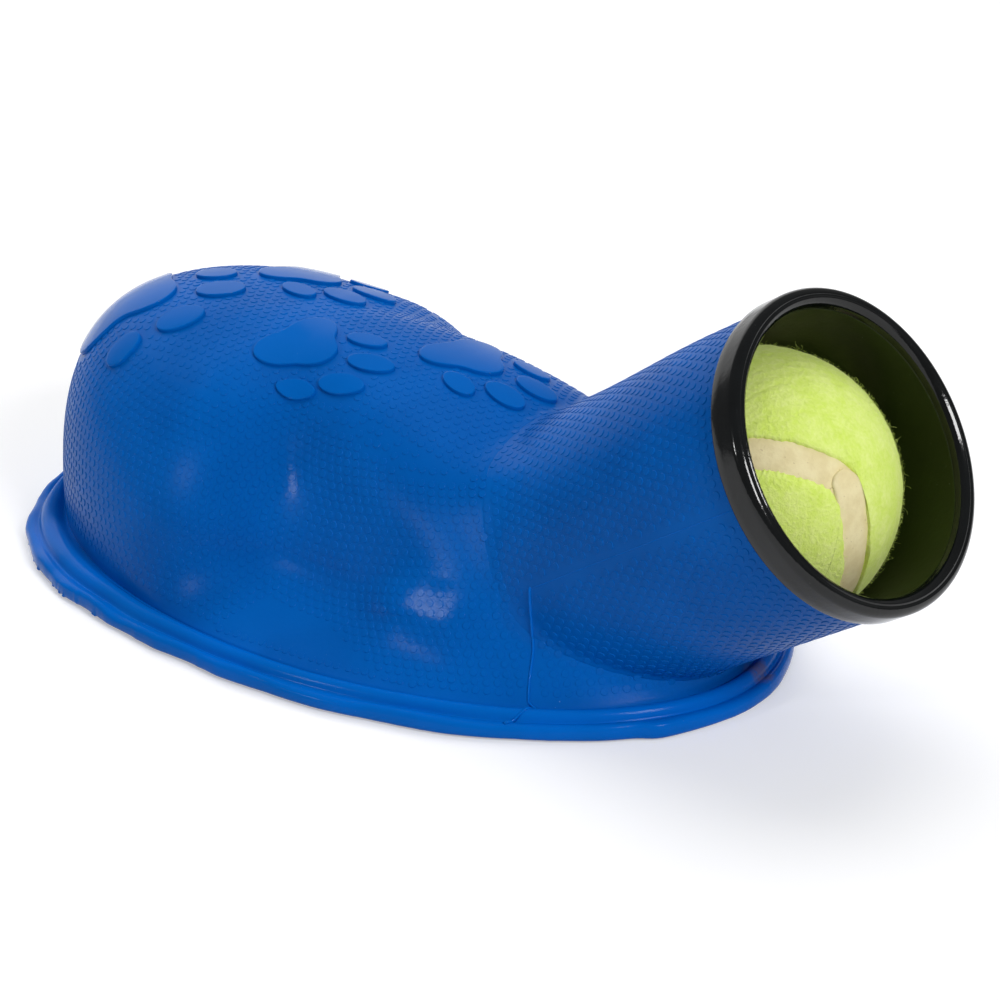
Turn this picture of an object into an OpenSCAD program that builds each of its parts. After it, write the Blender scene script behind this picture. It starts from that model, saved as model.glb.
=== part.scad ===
// Stomp ball launcher: a soft air dome on a flat flange, with an angled barrel that holds a felt ball.
// Origin at the middle of the base on the floor, +X towards the muzzle, +Z up, millimetres.

/* [Base] */
// Length of the oval flange
base_l = 222; // [200:1:245]
// Width of the oval flange
base_w = 142; // [130:1:156]
// Thickness of the floor sheet
sheet_t = 1.8; // [1.2:0.1:3]
// Thickness of the flange above the floor sheet
flange_t = 2.2; // [1.5:0.1:4]
// Distance from the flange edge to the crest of the bead
bead_inset = 4.8; // [4:0.1:5.2]
// Width of the bead
bead_w = 3.8; // [2.5:0.1:4]
// Height of the bead above the flange
bead_h = 2.2; // [1:0.1:3.5]
// Distance from the flange edge to the foot of the wall
foot_inset = 7; // [6.9:0.1:9]
// How much wider the flange is at its two back corners
back_flare = 5.5; // [0:0.5:7]
// Height of the wall's foot above the flange
foot_rise = 0.5; // [0.3:0.1:1]
// Bevel on the top edge of the flange
edge_bevel = 1; // [0.4:0.1:1.4]

/* [Dome] */
// Height of the dome above the floor
dome_h = 63.1; // [58:0.1:72]
// Place of the dome's crown along the base
dome_x = -30; // [-40:1:-22]
// Wall thickness of the soft shell
wall_t = 3; // [2:0.1:4]
// Squareness of the back wall, 2 is round
back_n = 3.4; // [2.6:0.1:4]
// Squareness of the side walls
side_n = 2.35; // [2.1:0.05:2.8]
// Squareness of the slope towards the barrel
front_n = 2.4; // [2.1:0.05:2.8]
// Fall of the ridge from the crown to the front of the base
ridge_drop = 4.7; // [2:0.1:7]
// Depth of the waist between the dome and the barrel
waist_d = 24; // [14:1:28]
// Direction of the waist, from straight ahead
waist_a = 45; // [40:1:52]
// Spread of the waist
waist_spread = 28; // [22:1:32]
// Share of the height that the flared apron below the waist takes up
apron_share = 0.3; // [0.2:0.01:0.36]

/* [Stomp] */
// Share of the height where the fixed skirt ends
skirt_share = 0.42; // [0.36:0.01:0.46]
// Share of the height where the moving crown starts
crown_share = 0.66; // [0.62:0.01:0.7]
// Distance from the crown's front edge back to the fold at the barrel root
fold_gap = 5; // [4.5:0.5:8]
// Gap between the moving crown and the flexible shoulder
flex_gap = 0.3; // [0.2:0.05:0.5]

/* [Ball] */
// Diameter over the felt
ball_d = 64.5; // [62:0.1:67]
// Thickness of the felt
felt_t = 2.6; // [2:0.1:3.2]
// Glue between the core and its cover
glue_t = 0.3; // [0.25:0.05:0.5]
// Wall of the hollow rubber core
core_wall = 3.3; // [2.5:0.1:4.5]
// Width of the rubber seam
seam_w = 5.6; // [3:0.1:8]
// Depth of the seam below the felt
seam_drop = 0.9; // [0.4:0.1:1.4]
// How far the seam swings, 0 is a plain equator
seam_swing = 2; // [1.2:0.1:2.6]
// How the ball happens to lie in the barrel
ball_turn = [-168, 16, 40];

/* [Barrel] */
// Angle of the barrel above the floor
barrel_angle = 33; // [31:0.5:35]
// Reach of the muzzle past the front of the base
muzzle_reach = 25; // [18:0.5:32]
// Height of the muzzle's centre
muzzle_z = 71.6; // [70.4:0.1:74]
// Length of the neck from the muzzle to its open rear end
neck_l = 85; // [82:0.5:87]
// Free play round the ball in the bore
ball_play = 0.35; // [0.3:0.05:0.6]
// Wall of the stiff sleeve
sleeve_wall = 1; // [0.8:0.1:1.4]
// Wall of the soft neck round the sleeve
neck_wall = 1.8; // [1.4:0.1:2.4]
// Length of the sleeve
sleeve_l = 68; // [62:1:70]
// Depth of the ball's centre behind the muzzle
ball_depth = 32.2; // [31:0.1:34]
// How far the seat ring stands in from the sleeve
seat_lip = 6.5; // [4:0.1:9]
// Thickness of the seat ring
seat_t = 4; // [2.5:0.1:6]
// Wall of the rim's band over the neck
rim_t = 1.5; // [1:0.1:2.2]
// Width of the rim's band
rim_band = 7.4; // [6:0.1:11]

/* [Paw prints] */
// Height of the raised pads
pad_h = 1; // [0.6:0.1:1.6]
// Mean radius of the main pad
pad_r = 9.6; // [7:0.1:10]
// Share of its outline that the flat top of a pad takes up
pad_taper = 0.86; // [0.8:0.01:0.92]
// How far the three corners of the main pad stand out, as a share of its radius
pad_point = 0.2; // [0.1:0.01:0.34]
// Length of a toe
toe_l = 10.5; // [7:0.5:11]
// Width of a toe
toe_w = 7; // [5:0.1:7.4]
// Distance from the middle of the main pad to the two middle toes
toe_reach = 22.5; // [21:0.5:24]
// Distance from the middle of the main pad to the two outer toes
side_reach = 16; // [15.5:0.5:18]
// Angle between the middle toes
toe_fan = 21; // [19:1:24]
// Angle between the outer toes
side_fan = 88; // [82:1:94]
// First print, from the back of the base
first_back = 33; // [31:0.5:36]
// First print, out to the right
first_side = 13; // [10:0.5:14]
// Second print, behind the top of the dome
second_back = 21; // [19:0.5:23]
// Second print, out to the left
second_side = 20; // [18:0.5:21]
// Third print, in front of the top of the dome
third_front = 12; // [10:0.5:14]
// Third print, out to the right
third_side = 16; // [14:0.5:17]
// Fourth print, behind the front edge of the crown
fourth_back = 28; // [27:0.5:30]
// Fourth print, out to the left
fourth_side = 10; // [8:0.5:11]

/* [Hidden] */
$fn = 96;
hair = 0.1;
blue = [0.01, 0.33, 0.66];
black = [0.1, 0.11, 0.11];
yellow = [0.83, 0.91, 0.5];
tan_seam = [0.87, 0.81, 0.6];
grey = [0.55, 0.56, 0.5];

bore_r = ball_d / 2 + ball_play;
sleeve_r = bore_r + sleeve_wall;
neck_r = sleeve_r + neck_wall;
rim_r = neck_r + rim_t;
nose_r = (rim_r - bore_r) / 2;
nose_d = 2 * nose_r;
muzzle_x = base_l / 2 + muzzle_reach;
core_r = ball_d / 2 - felt_t;
felt_r = core_r + glue_t;
seam_r = ball_d / 2 - seam_drop;
seat_r = bore_r - seat_lip;
ball_r = ball_d / 2;
seat_x = ball_depth + sqrt(pow(ball_r, 2) - pow(seat_r, 2)) + ball_play;

flange_z = sheet_t + flange_t;
foot_z = flange_z + foot_rise;
// The fold lies where the top of the neck runs into the ridge.
fold_x = muzzle_x - neck_r * sin(barrel_angle) - neck_l * cos(barrel_angle);
crown_front = fold_x - fold_gap;

ring_step = 5;
angles = [for (a = [-180 : ring_step : 180 - ring_step]) a];

// Prints on the crown: middle of the main pad in plan, heading and size.
prints = [[first_back - base_l / 2, -first_side, -8, 1.25], [dome_x - second_back, second_side, -10, 1.05],
          [dome_x + third_front, -third_side, -4, 0.95], [crown_front - fourth_back, fourth_side, -10, 1]];
toes = [[-side_fan / 2, side_reach], [-toe_fan / 2, toe_reach], [toe_fan / 2, toe_reach],
        [side_fan / 2, side_reach]];

// Radius of the base oval, drawn in by inset, from the crown's axis in the direction a.
function oval_r(a, inset) =
    let (p = base_l / 2 - inset, q = base_w / 2 - inset)
    let (k2 = pow(cos(a) / p, 2) + pow(sin(a) / q, 2))
    let (k1 = 2 * dome_x * cos(a) / (p * p), k0 = pow(dome_x / p, 2) - 1)
    (-k1 + sqrt(k1 * k1 - 4 * k2 * k0)) / (2 * k2);

// The same for the flange, which widens at the back corners but not at the foot of the wall.
function edge_r(a, inset) = oval_r(a, inset)
    + (cos(a) < 0 ? back_flare * pow(sin(2 * a), 2) * (1 - pow(inset / foot_inset, 2)) : 0);

function squareness(a) = side_n + (front_n - side_n) * max(cos(a), 0)
    + (back_n - side_n) * pow(max(-cos(a), 0), 2);
function waist_at(a) = waist_d * exp(-pow((abs(a) - waist_a) / waist_spread, 2));
function core_at(a) = oval_r(a, foot_inset) - waist_at(a);
function lift(x, share) = foot_z
    + share * (dome_h - foot_z - ridge_drop * (x - dome_x) / (base_l / 2 - dome_x));

// Point of the outer shell in direction a, with t from 0 at the foot to 90 at the crown.
function shell_pt(a, t) =
    let (n = squareness(a), share = pow(sin(t), 2 / n))
    let (apron = waist_at(a) * pow(max(1 - share / apron_share, 0), 2))
    let (r = core_at(a) * pow(cos(t), 2 / n) + apron, x = dome_x + r * cos(a))
    [x, r * sin(a), lift(x, share)];
function unit(v) = v / norm(v);
function shell_dir(a, t) =
    let (d = 0.5, lo = max(t - d, 0.01), hi = min(t + d, 89.9))
    unit(cross(shell_pt(a + d, t) - shell_pt(a - d, t), shell_pt(a, hi) - shell_pt(a, lo)));
function inner_pt(a, t) = shell_pt(a, t) - wall_t * shell_dir(a, t);

// Height of the shell above a point in plan, where the apron has ended.
function roof_z(x, y) =
    let (a = atan2(y, x - dome_x), n = squareness(a))
    let (rho = min(norm([x - dome_x, y]) / core_at(a), 1))
    lift(x, pow(1 - pow(rho, n), 1 / n));
function roof_dir(x, y) =
    let (d = 0.5)
    unit([roof_z(x - d, y) - roof_z(x + d, y), roof_z(x, y - d) - roof_z(x, y + d), 2 * d]);
function roof_pt(x, y, h) = [x, y, roof_z(x, y)] + h * roof_dir(x, y);

function skirt_top(a) = asin(pow(skirt_share, squareness(a) / 2));
// The crown ends at a level, and in front at a straight line beside the fold.
function crown_edge(a) =
    let (n = squareness(a), level = asin(pow(crown_share, n / 2)))
    let (reach = (crown_front - dome_x) / max(cos(a), 0.01))
    max(level, acos(pow(min(reach / core_at(a), 1), n / 2)));
function arc_deg(a, t) = norm(shell_pt(a, t + 0.5) - shell_pt(a, t - 0.5));

// Places a child at the muzzle, with +Z running back down the barrel.
module at_barrel() {
    translate([muzzle_x, 0, muzzle_z]) rotate([0, -90 - barrel_angle, 0]) children();
}

// Closed solid through rings of equal length: each ring is one closed profile, joined to the next.
module ring_sweep(rings) {
    n = len(rings);
    m = len(rings[0]);
    points = [for (r = rings) each r];
    faces = [for (i = [0 : n - 1], j = [0 : m - 1])
        let (p = i * m, q = ((i + 1) % n) * m, k = (j + 1) % m)
        each [[p + j, p + k, q + k], [p + j, q + k, q + j]]];
    polyhedron(points = points, faces = faces, convexity = 8);
}

// Closed solid from a stack of rings that runs from one pole to the other.
module pole_stack(first, rings, last) {
    n = len(rings);
    m = len(rings[0]);
    top = n * m + 1;
    points = concat([first], [for (r = rings) each r], [last]);
    body = [for (i = [0 : n - 2], j = [0 : m - 1])
        let (p = 1 + i * m, q = p + m, k = (j + 1) % m)
        each [[p + j, p + k, q + k], [p + j, q + k, q + j]]];
    caps = [for (j = [0 : m - 1])
        let (k = (j + 1) % m, p = 1 + (n - 1) * m)
        each [[0, 1 + k, 1 + j], [top, p + j, p + k]]];
    polyhedron(points = points, faces = concat(body, caps), convexity = 8);
}

module neck_cut() {
    at_barrel() cylinder(r = neck_r + hair, h = neck_l + rim_r);
}

module base_sheet() {
    color(blue) linear_extrude(sheet_t)
        polygon([for (a = angles) edge_r(a, 0) * [cos(a), sin(a)] + [dome_x, 0]]);
}

// Profile of the flange and its bead, from the foot of the wall round to the underside.
bead_turns = [0 : 45 : 180];
function flange_profile(a) =
    let (bead = [for (b = bead_turns) [bead_inset + bead_w / 2 * cos(b), flange_z + bead_h * sin(b)]])
    let (lip = [[edge_bevel, flange_z], [0, flange_z - flange_t / 3], [0, sheet_t]])
    [for (p = concat(bead, lip)) [dome_x + edge_r(a, p.x) * cos(a), edge_r(a, p.x) * sin(a), p.y]];

skirt_rings = 6;
function skirt_profile(a) =
    let (top = skirt_top(a), ts = [for (i = [skirt_rings : -1 : 0]) top * i / skirt_rings])
    let (foot = inner_pt(a, 0.01))
    concat([for (t = ts) shell_pt(a, t)], flange_profile(a), [[foot.x, foot.y, sheet_t]],
           [for (i = [1 : skirt_rings]) inner_pt(a, top * i / skirt_rings)]);

module skirt() {
    color(blue) difference() {
        ring_sweep([for (a = angles) skirt_profile(a)]);
        neck_cut();
    }
}

shoulder_rings = 6;
function shoulder_profile(a) =
    let (lo = skirt_top(a), hi = crown_edge(a))
    concat([for (i = [shoulder_rings : -1 : 0]) shell_pt(a, lo + (hi - lo) * i / shoulder_rings)],
           [for (i = [0 : shoulder_rings]) inner_pt(a, lo + (hi - lo) * i / shoulder_rings)]);

module shoulder() {
    color(blue) difference() {
        ring_sweep([for (a = angles) shoulder_profile(a)]);
        neck_cut();
    }
}

crown_rings = 8;
function crown_ring(i) = [for (a = angles)
    let (t = crown_edge(a))
    let (lo = t + flex_gap / arc_deg(a, t))
    lo + (90 - lo) * i / crown_rings];

module crown() {
    steps = [for (i = [0 : crown_rings - 1]) crown_ring(i)];
    outer = [for (s = steps) [for (k = [0 : len(angles) - 1]) shell_pt(angles[k], s[k])]];
    inner = [for (s = steps) [for (k = [0 : len(angles) - 1]) inner_pt(angles[k], s[k])]];
    down = [for (i = [crown_rings - 1 : -1 : 0]) outer[i]];
    color(blue) pole_stack([dome_x, 0, dome_h], concat(down, inner), [dome_x, 0, dome_h - wall_t]);
}

module neck() {
    color(blue) difference() {
        at_barrel() translate([0, 0, nose_d]) difference() {
            cylinder(r = neck_r, h = neck_l - nose_d);
            translate([0, 0, -1]) cylinder(r = sleeve_r, h = neck_l + 2);
        }
        translate([-base_l, -base_l, -base_l]) cube([2 * base_l, 2 * base_l, base_l + sheet_t]);
    }
}

module sleeve() {
    color(black) at_barrel() translate([0, 0, nose_d]) difference() {
        cylinder(r = sleeve_r, h = sleeve_l);
        translate([0, 0, -1]) cylinder(r = bore_r, h = sleeve_l + 2);
    }
}

// Ring inside the sleeve that the ball drops against and seals on.
module seat_ring() {
    color(black) at_barrel() translate([0, 0, seat_x]) difference() {
        cylinder(r = bore_r, h = seat_t);
        translate([0, 0, -1]) cylinder(r = seat_r, h = seat_t + 2);
    }
}

// Rounded lip over the ends of the neck and sleeve, with a band down the outside of the neck.
module muzzle_rim() {
    color(black) at_barrel() rotate_extrude() {
        translate([bore_r + nose_r, nose_r]) circle(r = nose_r);
        translate([bore_r, nose_r]) square([nose_d, nose_r]);
        translate([neck_r, nose_r]) square([rim_t, rim_band - nose_r]);
    }
}

// One raised pad: an outline in plan, laid over the shell in rings that shrink to its middle.
module pad(middle, outline, rings) {
    low = [for (i = [1 : rings]) [for (p = outline)
        let (q = middle + p * i / rings) roof_pt(q.x, q.y, hair)]];
    top = [for (i = [rings : -1 : 1]) [for (p = outline)
        let (q = middle + p * pad_taper * i / rings) roof_pt(q.x, q.y, pad_h)]];
    pole_stack(roof_pt(middle.x, middle.y, hair), concat(low, top), roof_pt(middle.x, middle.y, pad_h));
}

function turn(p, a) = [p.x * cos(a) - p.y * sin(a), p.x * sin(a) + p.y * cos(a)];
// Oval toe, long side along its own direction.
function toe_outline(a, k) = [for (b = [0 : 30 : 330])
    turn(k * [toe_l / 2 * cos(b), toe_w / 2 * sin(b)], a)];
// Main pad with three soft corners, one of them towards the toes.
function main_outline(a, k) = [for (b = [0 : 15 : 345])
    k * pad_r * (1 + pad_point * cos(3 * b)) * [cos(a + b), sin(a + b)]];

module paw_prints() {
    color(blue) for (p = prints) {
        middle = [p[0], p[1]];
        heading = p[2];
        size = p[3];
        pad(middle, main_outline(heading, size), 4);
        for (t = toes) {
            a = heading + t[0];
            pad(middle + size * t[1] * [cos(a), sin(a)], toe_outline(heading + t[0] / 3, size), 2);
        }
    }
}

module at_ball() {
    at_barrel() translate([0, 0, ball_depth]) children();
}

module core_half() {
    rotate_extrude() difference() {
        circle(r = core_r);
        circle(r = core_r - core_wall);
        translate([-ball_d, -ball_d]) square([2 * ball_d, ball_d]);
        translate([-2 * ball_d, -ball_d]) square([2 * ball_d, 2 * ball_d]);
    }
}

module ball_core_front() {
    color(grey) at_ball() rotate([180, 0, 0]) core_half();
}

module ball_core_rear() {
    color(grey) at_ball() core_half();
}

// Direction of the seam's middle line at the turn u, and the unit step across it towards the +Z pole.
seam_step = 7.5;
// The turns lie closer where the seam runs steepest, so that the steps along it are even.
seam_pack = 10;
seam_turns = [for (v = [0 : seam_step : 360 - seam_step]) v + seam_pack * sin(4 * v)];
function seam_z(u) = let (k = seam_swing * cos(2 * u))
    abs(k) < 0.001 ? 0 : (sqrt(1 + 4 * k * k) - 1) / (2 * k);
function seam_dir(u) = let (z = seam_z(u)) [sqrt(1 - z * z) * cos(u), sqrt(1 - z * z) * sin(u), z];
function seam_side(u) = unit(cross(seam_dir(u), seam_dir(u + 0.5) - seam_dir(u - 0.5)));
half_seam = seam_w / ball_d * 180 / PI;
function seam_edge(u, side) = cos(half_seam) * seam_dir(u) + side * sin(half_seam) * seam_side(u);

// A felt panel spreads in rings from its middle to the seam's edge.
felt_rings = 12;
module felt_panel(side) {
    middle = [0, 0, side];
    function polar(u) = acos(seam_edge(u, side).z * side);
    function about(u) = atan2(seam_edge(u, side).y, seam_edge(u, side).x);
    function spot(u, i) = let (t = polar(u) * i / felt_rings)
        [sin(t) * cos(about(u)), sin(t) * sin(about(u)), side * cos(t)];
    low = [for (i = [1 : felt_rings]) [for (u = seam_turns) felt_r * spot(u * side, i)]];
    high = [for (i = [felt_rings : -1 : 1]) [for (u = seam_turns) ball_r * spot(u * side, i)]];
    pole_stack(felt_r * middle, concat(low, high), ball_r * middle);
}

// The ball lies turned about the middle of the bore.
module in_ball() {
    translate([muzzle_x - ball_depth * cos(barrel_angle), 0, muzzle_z - ball_depth * sin(barrel_angle)])
        rotate(ball_turn) children();
}

module felt_panel_a() {
    color(yellow) in_ball() felt_panel(1);
}

module felt_panel_b() {
    color(yellow) in_ball() felt_panel(-1);
}

module ball_seam() {
    color(tan_seam) in_ball() ring_sweep([for (u = seam_turns)
        let (e = seam_edge(u, 1), f = seam_edge(u, -1), m = seam_dir(u))
        [felt_r * e, felt_r * m, felt_r * f, seam_r * f, seam_r * m, seam_r * e]]);
}

base_sheet();
skirt();
shoulder();
neck();
sleeve();
seat_ring();
muzzle_rim();
crown();
paw_prints();
ball_core_front();
ball_core_rear();
felt_panel_a();
felt_panel_b();
ball_seam();
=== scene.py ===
import math
from itertools import product

import bpy
import numpy as np
from mathutils import Euler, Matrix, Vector
from mathutils.bvhtree import BVHTree


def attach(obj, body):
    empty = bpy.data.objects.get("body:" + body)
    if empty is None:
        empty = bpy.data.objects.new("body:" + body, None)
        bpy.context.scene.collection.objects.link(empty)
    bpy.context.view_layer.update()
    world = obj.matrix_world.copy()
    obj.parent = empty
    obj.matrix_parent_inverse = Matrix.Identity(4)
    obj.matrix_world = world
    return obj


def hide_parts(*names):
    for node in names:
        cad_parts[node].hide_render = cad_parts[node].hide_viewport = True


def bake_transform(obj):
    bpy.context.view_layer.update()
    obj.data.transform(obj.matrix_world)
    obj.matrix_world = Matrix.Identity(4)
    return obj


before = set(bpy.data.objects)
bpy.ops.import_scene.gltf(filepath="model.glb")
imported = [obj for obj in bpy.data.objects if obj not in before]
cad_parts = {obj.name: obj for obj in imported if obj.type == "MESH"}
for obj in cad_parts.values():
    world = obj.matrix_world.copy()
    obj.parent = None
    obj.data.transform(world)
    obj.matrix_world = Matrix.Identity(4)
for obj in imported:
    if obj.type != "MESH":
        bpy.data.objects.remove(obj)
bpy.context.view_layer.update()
print("frame loaded with", len(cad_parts), "CAD nodes")

scene = bpy.context.scene
scene.view_settings.view_transform = "Standard"
mm = 0.001

# camera, at the photo's angle
lens = {"place": (0.45702, -0.47944, 0.31454), "turn": (65.9633, -0.0573, 41.5017), "length": 104.716,
        "sensor": 36}
camera = bpy.data.objects.new("camera", bpy.data.cameras.new("camera"))
camera.location = lens["place"]
camera.rotation_euler = [math.radians(t) for t in lens["turn"]]
camera.data.lens = lens["length"]
camera.data.sensor_width = lens["sensor"]
scene.collection.objects.link(camera)
scene.camera = camera


# wraps a socket of a node, so that expressions add their own Math nodes
class Wire:
    def __init__(self, tree, socket=None):
        self.tree, self.socket = tree, socket

    def node(self, kind, settings=None, inputs=None, out=0):
        made = self.tree.nodes.new(kind)
        for key, value in (settings or {}).items():
            setattr(made, key, value)
        for key, value in (inputs or {}).items():
            if isinstance(value, Wire):
                self.tree.links.new(value.socket, made.inputs[key])
            else:
                made.inputs[key].default_value = value
        return Wire(self.tree, made.outputs[out])

    # another output of the same node
    def __getitem__(self, out):
        return Wire(self.tree, self.socket.node.outputs[out])

    def sum(self, operation, a, b):
        return self.node("ShaderNodeMath", {"operation": operation}, {0: a, 1: b})

    def __add__(self, other):
        return self.sum("ADD", self, other)

    def __sub__(self, other):
        return self.sum("SUBTRACT", self, other)

    def __rsub__(self, other):
        return self.sum("SUBTRACT", other, self)

    def __mul__(self, other):
        return self.sum("MULTIPLY", self, other)

    __radd__, __rmul__ = __add__, __mul__

    def mix(self, first, second):
        return self.node("ShaderNodeMix", {"data_type": "RGBA"}, {0: self, 6: first, 7: second}, 2)

    def band(self, low, high):
        return self.node("ShaderNodeMapRange", {"interpolation_type": "SMOOTHSTEP"},
                         {"Value": self, "From Min": low, "From Max": high})

    # noise, stretched and cut to a band where those are given
    def noise(self, scale, detail, rough=0.55, stretch=None, band=None):
        place = self
        if stretch:
            place = self.node("ShaderNodeMapping", {}, {"Vector": self, "Scale": stretch})
        made = self.node("ShaderNodeTexNoise", {}, {
            "Vector": place, "Scale": scale, "Detail": detail, "Roughness": rough})
        return made.band(*band) if band else made

    # 1 close to a spot given in millimetres, 0 beyond its reach
    def near(self, spot, reach):
        middle = [c * mm for c in spot]
        away = self.node("ShaderNodeVectorMath", {"operation": "DISTANCE"}, {0: self, 1: middle}, "Value")
        return away.band(reach * mm, reach * mm / 2)


def srgb(r, g, b):
    return tuple(c / 12.92 if c <= 0.04045 else ((c + 0.055) / 1.055) ** 2.4
                 for c in (r / 255, g / 255, b / 255)) + (1.0,)


# a new material: its shader and the Object coordinates
def startFinish(name, fixed):
    made = bpy.data.materials.new(name)
    made.use_nodes = True
    shader = made.node_tree.nodes["Principled BSDF"]
    for key, value in fixed.items():
        shader.inputs[key].default_value = value
    return made, shader, Wire(made.node_tree).node("ShaderNodeTexCoord", out="Object")


def plug(shader, name, wire):
    wire.tree.links.new(wire.socket, shader.inputs[name])


# layers added up by their shares
def weigh(layers, shares, total=0.0):
    for key, share in shares.items():
        total = total + layers[key] * share
    return total


# a finish from its look: layers of noise, and how much each tells in tone, marks, roughness and bump
def newFinish(name, look):
    made, shader, place = startFinish(name, look["fixed"])
    layers = {}
    for key, layer in look["layers"].items():
        layers[key] = place.near(**layer) if "spot" in layer else place.noise(**layer)
    tone = weigh(layers, look["tone"]).mix(look["low"], look["high"])
    for keys, share, colour in look["marks"]:
        tone = math.prod([layers[key] for key in keys], start=share).mix(tone, colour)
    plug(shader, "Base Color", tone)
    plug(shader, "Roughness", weigh(layers, look["rough"], look["gloss"]))
    plug(shader, "Normal", place.node("ShaderNodeBump", {}, {
        "Height": weigh(layers, look["bump"]), "Distance": look["depth"], "Strength": look["strength"]}))
    return made


# soft moulded vinyl: slow drifts of tone, a fine skin, pale specks of dust, a dark purplish patch in the
# groove under the barrel and two rubbed spots
vinyl = {
    "fixed": {"IOR": 1.48, "Specular IOR Level": 0.06},
    "layers": {
        "drift": {"scale": 28, "detail": 2, "band": (0.35, 0.65)},
        "grain": {"scale": 900, "detail": 3},
        "fine": {"scale": 2600, "detail": 2},
        "scuff": {"scale": 160, "detail": 4, "rough": 0.65, "band": (0.58, 0.78)},
        "dust": {"scale": 1500, "detail": 1, "band": (0.79, 0.83)},
        "dusty": {"scale": 90, "detail": 2, "band": (0.45, 0.6)},
        "patchMottle": {"scale": 420, "detail": 3, "rough": 0.6, "band": (0.3, 0.55)},
        # a dark purplish grey patch, broken up by noise, in the flange's groove under the barrel
        "underBarrelPatch": {"spot": (106.5, 7.5, 4.6), "reach": 4.5},
        "rubbedLow": {"spot": (47, -43, 22.5), "reach": 14},
        "rubbedHigh": {"spot": (0, -38, 39), "reach": 8},
    },
    "tone": {"drift": 0.75, "grain": 0.25},
    "marks": [(("dust", "dusty"), 0.5, srgb(120, 165, 215)), (("underBarrelPatch", "patchMottle"), 0.75, srgb(98, 90, 122))],
    "rough": {"drift": 0.03, "scuff": 0.06, "grain": 0.03, "rubbedLow": -0.15, "rubbedHigh": -0.15},
    "bump": {"grain": 0.7, "fine": 0.3}, "strength": 1,
}
vinylTones = {"deep": srgb(0, 86, 170), "pad": srgb(0, 92, 178), "lit": srgb(0, 97, 187),
              "edge": srgb(0, 102, 200)}


def vinylFinish(name, low, high, gloss, depth):
    tones = {"low": vinylTones[low], "high": vinylTones[high]}
    return newFinish(name, {**vinyl, **tones, "gloss": gloss, "depth": depth * mm})


shellVinyl = vinylFinish("shellVinyl", "deep", "lit", gloss=0.27, depth=0.05)
padVinyl = vinylFinish("padVinyl", "pad", "lit", gloss=0.1, depth=0.02)
flangeVinyl = vinylFinish("flangeVinyl", "lit", "edge", gloss=0.13, depth=0.04)
print("vinyl finishes made")

# sizes of the moulding in millimetres
dome = {
    "length": 222, "width": 142, "sheet": 1.8, "flange": 2.2, "footRise": 0.5, "footInset": 7,
    "height": 63.1, "centre": -30, "backFlare": 5.5, "backSquare": 3.4, "sideSquare": 2.35,
    "frontSquare": 2.4, "ridgeDrop": 4.7, "waist": 24, "waistAngle": 45, "waistSpread": 28, "apron": 0.3,
    "wall": 3,
}
barrel = {
    "angle": 33, "muzzle": (136, 0, 71.6), "radius": 35.4, "bore": 33.6, "length": 85, "front": 4.3,
    "fillet": 2.4, "filletBroad": 9, "filletAt": 44, "filletSpread": 17, "wallPasses": 5, "tubePasses": 3,
    "sag": 1.4, "sagFrom": 25, "sagRun": 40,
}
flangeTop = dome["sheet"] + dome["flange"]
footZ = flangeTop + dome["footRise"]
tilt = math.radians(barrel["angle"])
muzzle = np.array(barrel["muzzle"], float)
backAxis = np.array([-math.cos(tilt), 0, -math.sin(tilt)])
topAxis = np.array([-math.sin(tilt), 0, math.cos(tilt)])
sideAxis = np.array([0, 1, 0])


def unit(v):
    return v / np.maximum(np.linalg.norm(v, axis=-1, keepdims=True), 1e-9)


def wrap(angle):
    return np.arctan2(np.sin(angle), np.cos(angle))


# 1 in the middle, falling to 0 past its reach
def hump(off, reach, power=2):
    return np.exp(-(off / reach) ** power)


def smoothStep(share):
    t = np.clip(share, 0, 1)
    return t * t * (3 - 2 * t)


# even steps round a whole turn
def roundTurn(count):
    return np.linspace(0, math.tau, count, endpoint=False)


# length run along a line of points
def runAlong(line):
    steps = np.linalg.norm(np.diff(line, axis=-2), axis=-1)
    return np.concatenate([np.zeros_like(steps[..., :1]), np.cumsum(steps, axis=-1)], -1)


def ovalRadius(angle, inset):
    p, q, x = dome["length"] / 2 - inset, dome["width"] / 2 - inset, dome["centre"]
    c, s = np.cos(angle), np.sin(angle)
    k2, k1, k0 = (c / p) ** 2 + (s / q) ** 2, 2 * x * c / p ** 2, (x / p) ** 2 - 1
    return (-k1 + np.sqrt(k1 * k1 - 4 * k2 * k0)) / (2 * k2)


# how far inside its plain oval the hand-trimmed flange runs: degrees round the dome and millimetres
trims = [(-180, 0.6), (-160, 2.9), (-150, 2.1), (-138, 1.4), (-126, 0.8), (-116, -0.9), (-103, -2.1),
         (-86, -2.0), (-70, -0.7), (-55, -0.7), (-40, 0.2), (-25, 0.6), (-8, -0.5), (8, 0.2), (25, 0),
         (180, 0.6)]
trimReach = 9
trimDegrees = np.arange(-180, 180)
trimShare = np.hanning(2 * trimReach + 3)[1:-1]
trimCurve = np.convolve(np.interp(np.arange(-180 - trimReach, 180 + trimReach), *zip(*trims), period=360),
                        trimShare / trimShare.sum(), "valid")


# a point of the flange, which widens at the two back corners
def flangePoint(angle, inset, z):
    flare = np.where(np.cos(angle) < 0, dome["backFlare"] * np.sin(2 * angle) ** 2, 0)
    flare = flare - np.interp(np.degrees(angle), trimDegrees, trimCurve, period=360)
    r = ovalRadius(angle, inset) + flare * np.maximum(1 - (inset / dome["footInset"]) ** 2, 0)
    return np.stack(np.broadcast_arrays(dome["centre"] + r * np.cos(angle), r * np.sin(angle), z), -1)


def squareness(angle):
    c = np.cos(angle)
    return (dome["sideSquare"] + (dome["frontSquare"] - dome["sideSquare"]) * np.maximum(c, 0)
            + (dome["backSquare"] - dome["sideSquare"]) * np.maximum(-c, 0) ** 2)


def waistAt(angle):
    off = np.abs(np.degrees(wrap(angle))) - dome["waistAngle"]
    return dome["waist"] * hump(off, dome["waistSpread"])


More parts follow.
